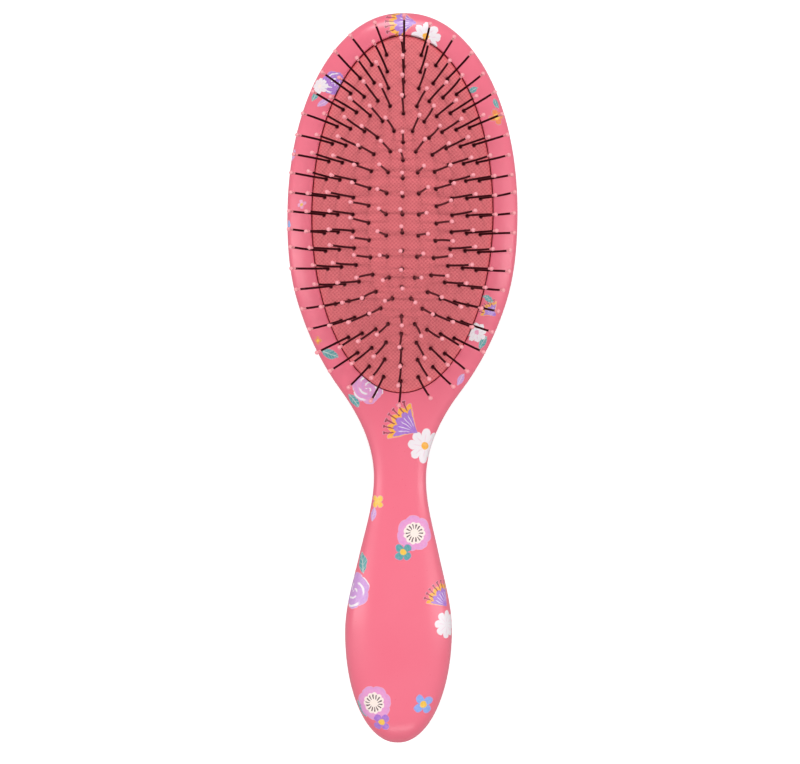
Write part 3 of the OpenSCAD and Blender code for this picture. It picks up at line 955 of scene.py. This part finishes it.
def blend_nearest(known: Array, values: Array, places: Array) -> Array:
    """Value at each place, blended from the three nearest known places.

    Args:
        known, values: The known places and their values.
        places: Where the values are wanted.

    Returns:
        One row of values for each place.
    """
    tree = KDTree(len(known))
    for i, place in enumerate(known):
        tree.insert(Vector(place), i)
    tree.balance()
    out = np.empty((len(places), values.shape[1]))
    for k, place in enumerate(places):
        near = tree.find_n(Vector(place), 3)
        weights = np.array([1 / (d + 1e-5) for _, _, d in near])
        out[k] = (weights[:, None] * values[[i for _, i, _ in near]]).sum(0) / weights.sum()
    return out


# ---- soft and thin pieces


@dataclass
class Cushion:
    """The domed rubber pad, dimpled round each pin."""

    a: float
    b: float
    y: float
    edge_z: float
    top_z: float
    seats: Array
    foot_z: float = 10.45
    membrane: float = 1.2
    roll: float = 0.32
    dimple_radius: float = 1.0
    dimple_depth: float = 0.42
    painted_shadow_shift: float = 0.22
    # how far the painted shade round each pin is moved towards the handle, as the pin's painted shadow
    spacing: float = 0.8

    def dome(self, plan: Array) -> Array:
        """Height of the smooth dome over plan points (n, 2)."""
        rise = self.top_z - self.edge_z
        r1 = (self.a**2 + rise**2) / (2 * rise)
        r2 = (self.b**2 + rise**2) / (2 * rise)
        x, y = plan[:, 0], plan[:, 1] - self.y
        across = r2 - r1 + np.sqrt(np.maximum(r1 * r1 - x * x, 0))
        return self.top_z - r2 + np.sqrt(np.maximum(across**2 - y * y, 0))

    def ring(self, inset: float, count: int) -> Array:
        """Points of the pad's outline, moved inwards."""
        turn = np.linspace(0, math.tau, count, endpoint=False)
        return np.stack([(self.a - inset) * np.cos(turn), self.y + (self.b - inset) * np.sin(turn)], 1)

    def dimple(self, plan: Array, shift: float = 0.0) -> Array:
        """How far each plan point is into a dimple, 0 outside and 1 at a pin.

        Args:
            plan: Points (n, 2).
            shift: How far the dimples are moved from the pins, towards the handle, where the pins' painted
                shadow falls.

        Returns:
            The depth share of each point.
        """
        out = np.zeros(len(plan))
        for seat in self.seats - (0, shift):
            d = np.hypot(*(plan - seat).T) / self.dimple_radius
            out = np.maximum(out, np.where(d < 1, (1 - np.clip(d, 0, 1) ** 2) ** 2, 0))
        return out

    def top(self, count: int) -> tuple[Array, list]:
        """The dome's triangles, finer round the pins.

        Args:
            count: Points round the outline.

        Returns:
            Plan points, the first count of them on the outline, and triangles.
        """
        rim = self.ring(self.roll, count)
        xs = np.arange(-self.a, self.a, self.spacing)
        ys = np.arange(self.y - self.b, self.y + self.b, self.spacing * 0.866)
        grid = np.stack(np.meshgrid(xs, ys), 2)
        grid[1::2, :, 0] += self.spacing / 2
        grid = grid.reshape(-1, 2)
        inset = self.roll + 0.35
        span = np.hypot(grid[:, 0] / (self.a - inset), (grid[:, 1] - self.y) / (self.b - inset))
        grid = grid[span < 1]
        away = np.min([np.hypot(*(grid - s).T) for s in self.seats], axis=0)
        grid = grid[away > self.dimple_radius + 0.25]
        turn = np.linspace(0, math.tau, 16, endpoint=False)
        circle = np.stack([np.cos(turn), np.sin(turn)], 1)
        rounds = [s + circle * r for s in self.seats for r in (0.25, 0.45, 0.65, 0.85, self.dimple_radius)]
        points = np.concatenate([rim, grid, *rounds, self.seats])
        edges = [(i, (i + 1) % count) for i in range(count)]
        result = delaunay_2d_cdt([Vector(p) for p in points], edges, [], 1, 1e-5)
        return np.array([v[:] for v in result[0]]), [list(f) for f in result[2]]

    def build(self) -> Thing:
        """Builds the pad as a closed solid."""
        count = 300
        plan, faces = self.top(count)
        top = np.column_stack([plan, self.dome(plan) - self.dimple_depth * self.dimple(plan)])
        rim = self.ring(self.roll, count)
        start = np.array([int(np.argmin(np.hypot(*(plan - p).T))) for p in rim])
        side = self.ring(0, count)
        rows = []
        for t in np.linspace(0.2, 1, 5):
            flat = rim * (1 - t) ** 2 + side * (2 * t * (1 - t) + t * t)
            high = (top[start, 2] * (1 - t) ** 2 + self.edge_z * 2 * t * (1 - t)
                    + (self.edge_z - self.roll) * t * t)
            rows.append(np.column_stack([flat, high]))
        rows.append(np.column_stack([side, np.full(count, self.foot_z)]))
        for inset in (self.membrane, *np.linspace(self.membrane + 0.4, self.a - 0.4, 12)):
            flat = self.ring(inset, count)
            if inset > self.membrane:
                shrink = (self.a - inset) / (self.a - self.membrane - 0.4)
                flat = np.stack([flat[:, 0], self.y + (self.b - self.membrane - 0.4) * shrink
                                 * np.sin(np.linspace(0, math.tau, count, endpoint=False))], 1)
            high = np.full(count, self.foot_z) if inset == self.membrane else np.maximum(
                self.dome(flat) - self.membrane, self.foot_z)
            rows.append(np.column_stack([flat, high]))
        base = len(top)
        points = np.concatenate([top, *rows])
        walls = [[(start[i % count] if i < count else base + i - count) for i in quad]
                 for quad in grid_faces(len(rows) + 1, count, True)]
        cap = [base + (len(rows) - 1) * count + i for i in range(count)][::-1]
        thing = make_object("cushion_pad", points, faces + walls + [cap], sharp=60)
        places = places_mm(thing)
        high = places[:, 2] > self.edge_z - 0.1
        # painted shade in the dimples and the pins' painted shadow, moved towards the handle, stored for
        # the rubber's colour
        store(thing, "dimple", self.dimple(places[:, :2], self.painted_shadow_shift) * high)
        return thing


@dataclass
class Pin:
    """One pin's line: its foot on the rubber, its direction and the way it bends."""

    foot: Array
    along: Array
    bend: Array
    reach: float = PIN_REACH

    def at(self, s: float) -> Array:
        """Place on the pin's middle line, s millimetres from its foot."""
        share = max(s, 0.0) / self.reach
        return self.foot + self.along * s + self.bend * share**2

    def tube(self, profile: Sequence[tuple[float, float]], sides: int) -> tuple[Array, list]:
        """A closed solid of revolution round the pin's line.

        Args:
            profile: Pairs of distance along the line and radius.
            sides: Facets round it.

        Returns:
            Points and faces.
        """
        guide = np.array([0, 1.0, 0]) if abs(self.along[0]) > 0.5 else np.array([1.0, 0, 0])
        u = np.cross(self.along, guide)
        u /= np.linalg.norm(u)
        v = np.cross(self.along, u)
        turn = np.linspace(0, math.tau, sides, endpoint=False)
        round_ = np.cos(turn)[:, None] * u + np.sin(turn)[:, None] * v
        rows = [self.at(s) + round_ * r for s, r in profile]
        last = (len(rows) - 1) * sides
        caps = [list(range(sides))[::-1], list(range(last, last + sides))]
        return np.concatenate(rows), [list(f) for f in grid_faces(len(rows), sides, True)] + caps


def loose_parts(node: Thing) -> list[Array]:
    """Points of each separate solid in a frame node, in millimetres."""
    mesh = node.data
    world = np.array(node.matrix_world)
    places = np.array([v.co[:] for v in mesh.vertices])
    places = (places @ world[:3, :3].T + world[:3, 3]) / MM
    # the frame's faces don't share vertices, so points in one place count as one
    places, same = np.unique(places.round(3), axis=0, return_inverse=True)
    pairs = same.ravel()[np.array([e.vertices[:] for e in mesh.edges])]
    owner = np.arange(len(places))
    while True:
        low = np.minimum(owner[pairs[:, 0]], owner[pairs[:, 1]])
        fresh = owner.copy()
        np.minimum.at(fresh, pairs[:, 0], low)
        np.minimum.at(fresh, pairs[:, 1], low)
        fresh = fresh[fresh]
        if (fresh == owner).all():
            break
        owner = fresh
    return [places[owner == k] for k in np.unique(owner)]


@dataclass
class PinField:
    """All the pins and their ball tips, ring by ring."""

    nodes: dict[str, Thing]
    sunk: float = 2.07
    bend_side: float = 0.4
    bend_mean: float = -0.35
    bend_end: float = 0.55
    sides: int = 12
    pin_profile: tuple = ((-2.0, 0.45), (0.0, 0.46), (0.35, 0.44), (0.62, 0.38), (0.85, 0.35),
                          (1.4, 0.35), (4.0, 0.35), (8.0, 0.345), (12.0, 0.34), (16.9, 0.33))
    ball: float = 0.64
    sleeve: float = 0.4
    groups: list[str] = field(default_factory=lambda: [f"ring_{k}" for k in range(1, 6)] + ["centre"])

    def lines(self, group: str, rng: np.random.Generator) -> list[Pin]:
        """The pins of one group, read from its frame node."""
        low, high = (np.array(c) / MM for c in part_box("pins_ring_1"))
        middle_y, half_length = (low[1] + high[1]) / 2, (high[1] - low[1]) / 2
        pins = []
        for solid in loose_parts(self.nodes["pins_" + group]):
            middle = solid.mean(0)
            along = np.linalg.svd(solid - middle, full_matrices=False)[2][0]
            along = along * np.sign(along[2])
            span = (solid - middle) @ along
            foot = middle + along * (span.min() + self.sunk)
            reach = (foot[1] - middle_y) / half_length
            bend = np.clip(rng.normal(0, self.bend_side, 3), -0.8, 0.8)
            bend += (self.bend_mean, self.bend_end * reach**2, 0)
            pins.append(Pin(foot, along, bend - along * (bend @ along)))
        return pins

    def tip_profile(self) -> list[tuple[float, float]]:
        """Sleeve that swells into a ball at the pin's end."""
        ball = [(PIN_REACH + self.ball * math.sin(t), self.ball * math.cos(t))
                for t in np.radians(np.linspace(-62, 88, 11))]
        return [(15.4, 0.3), (15.42, self.sleeve - 0.03), (15.7, self.sleeve), (16.1, self.sleeve)] + ball

    def build_group(self, group: str, pins: list[Pin]) -> tuple[Thing, Thing]:
        """Builds a group's shafts and tips.

        Args:
            group: The group's name.
            pins: Its pins.

        Returns:
            The shafts and the tips, one object each.
        """
        made = []
        for kind, profile in (("shafts", self.pin_profile), ("balls", self.tip_profile())):
            points, faces, base = [], [], 0
            for pin in pins:
                own, own_faces = pin.tube(profile, self.sides)
                points.append(own)
                faces += [[base + i for i in f] for f in own_faces]
                base += len(own)
            made.append(make_object(f"{kind}_{group}", np.concatenate(points), faces, sharp=50))
        return made[0], made[1]


# ---- setting


@dataclass
class Setting:
    """White ground, soft lights and the camera straight above."""

    centre_y: float = -1.3
    centre_x: float = -0.27
    height: float = 0.809
    lens: float = 116.7
    roll: float = 0.0094
    sky: float = 0.52
    paper_glow: float = 0.52

    def ground(self) -> None:
        """A white sheet under the brush."""
        bpy.ops.mesh.primitive_plane_add(size=3.0, location=(0, 0, 0))
        sheet = bpy.context.object
        sheet.name = "ground_sheet"
        material = bpy.data.materials.new("white_paper")
        material.use_nodes = True
        shader = material.node_tree.nodes["Principled BSDF"]
        shader.inputs["Roughness"].default_value = 0.9
        shader.inputs["Specular IOR Level"].default_value = 0.1
        g = Graph(material.node_tree)
        seen = g.node("ShaderNodeLightPath").outputs["Is Camera Ray"]
        shader.inputs["Emission Color"].default_value = (1, 1, 1, 1)
        g.put(shader.inputs["Base Color"], g.mix(seen, (0.5, 0.5, 0.5, 1), (0.93, 0.93, 0.93, 1)))
        g.put(shader.inputs["Emission Strength"], g.times(seen, self.paper_glow))
        sheet.data.materials.append(material)

    def lamp(self, name: str, place: Triple, size: tuple[float, float], power: float) -> None:
        """A rectangular soft light aimed at the brush.

        Args:
            name: Its name.
            place: Where it stands, in metres.
            size: Its two sides, in metres.
            power: Watts.
        """
        light = bpy.data.lights.new(name, "AREA")
        light.shape = "RECTANGLE"
        light.size, light.size_y = size
        light.energy = power
        thing = bpy.data.objects.new(name, light)
        thing.location = place
        thing.rotation_euler = (-Vector(place)).to_track_quat("-Z", "Y").to_euler()
        bpy.context.scene.collection.objects.link(thing)

    def build(self) -> None:
        """Adds the ground, the lights, the sky and the camera."""
        self.ground()
        world = bpy.data.worlds.new("pale_room")
        world.use_nodes = True
        world.node_tree.nodes["Background"].inputs[0].default_value = (1, 1, 1, 1)
        world.node_tree.nodes["Background"].inputs[1].default_value = self.sky
        scene = bpy.context.scene
        scene.world = world
        scene.view_settings.view_transform = "Standard"
        self.lamp("key_light", (-0.1, 1.07, 0.9), (0.5, 0.3), 6.6)
        self.lamp("fill_light", (0.1, -1.07, 0.9), (0.8, 0.3), 3.0)
        for name, x in (("left_strip", -0.87), ("right_strip", 0.87)):
            self.lamp(name, (x, 0.0, 0.7), (0.14, 1.0), 3.4)
        camera = bpy.data.cameras.new("camera")
        camera.lens, camera.sensor_width = self.lens, 36
        thing = bpy.data.objects.new("camera", camera)
        thing.location = (self.centre_x * MM, self.centre_y * MM, self.height)
        thing.rotation_euler = (0, 0, self.roll)
        scene.collection.objects.link(thing)
        scene.camera = thing


def dress(piece: Thing, material: bpy.types.Material, node: str, body: str) -> None:
    """Finishes a piece, hides the frame node that it stands for and parents it to the body that it moves
    with.

    Args:
        piece: The piece.
        material: Its material.
        node: The frame node that it replaces.
        body: The body that it rides on.
    """
    piece.data.materials.append(material)
    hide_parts(node)
    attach(piece, body)
    LOG.info("%s: %d faces", piece.name, len(piece.data.polygons))


def add_shells(shells: Shells) -> None:
    """Adds the front and back mouldings."""
    plastic = shell_material()
    for way, node in ((1, "front_shell"), (-1, "back_shell")):
        half = shells.build(way)
        store(half, "underside", np.full(len(half.data.vertices), 0.0 if way > 0 else 1.0))
        dress(half, plastic, node, "brush_body")


def add_cushion(cushion: Cushion) -> None:
    """Adds the rubber pad and gives it a mesh of its own."""
    pad = cushion.build()
    dress(pad, rubber_material(), "cushion", "brush_body")
    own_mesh(pad)


def add_pins(pin_field: PinField, lines: dict[str, list[Pin]]) -> None:
    """Adds the pins and their tips, one pair of pieces for each group."""
    nylon = grained_material(NYLON, linear(66, 10, 20), 1.2, 0.004)
    resin = grained_material(RESIN, linear(246, 152, 162), 1.2, 0.002)
    for group, pins in lines.items():
        body = "centre_pins" if group == "centre" else f"{group}_pins"
        shafts, balls = pin_field.build_group(group, pins)
        dress(shafts, nylon, "pins_" + group, body)
        dress(balls, resin, "tips_" + group, body)


def main() -> None:
    """Builds the brush piece by piece on its frame."""
    logging.basicConfig(level=logging.INFO, format="%(name)s: %(message)s")
    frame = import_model()
    rng = np.random.default_rng(SEED)
    nodes = frame["nodes"]

    low, high = (np.array(c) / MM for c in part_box("back_shell"))
    outline = Outline(length=high[1] - low[1], head_width=high[0] - low[0])
    low, high = (np.array(c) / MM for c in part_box("cushion"))
    middle_y = (low[1] + high[1]) / 2
    pad_a, pad_b = (high[:2] - low[:2]) / 2 - FLANGE_REACH
    LOG.info("body %.1f x %.1f mm, pad %.1f x %.1f mm", outline.length, outline.head_width, pad_a, pad_b)
    add_shells(Shells(outline, pad_a + SHOWN_GAP, pad_b + SHOWN_GAP, middle_y))

    pin_field = PinField(nodes)
    lines = {group: pin_field.lines(group, rng) for group in pin_field.groups}
    seats = np.array([pin.foot[:2] for pins in lines.values() for pin in pins])
    LOG.info("%d pins", len(seats))
    add_cushion(Cushion(pad_a, pad_b, middle_y, RIM_Z, high[2], seats))

    retainer = nodes["cushion_retainer"]
    retainer.data.materials.clear()
    retainer.data.materials.append(grained_material(INNER, linear(176, 58, 84), 1.5, 0.01))
    add_pins(pin_field, lines)

    Setting().build()


if __name__ == "__main__":
    main()
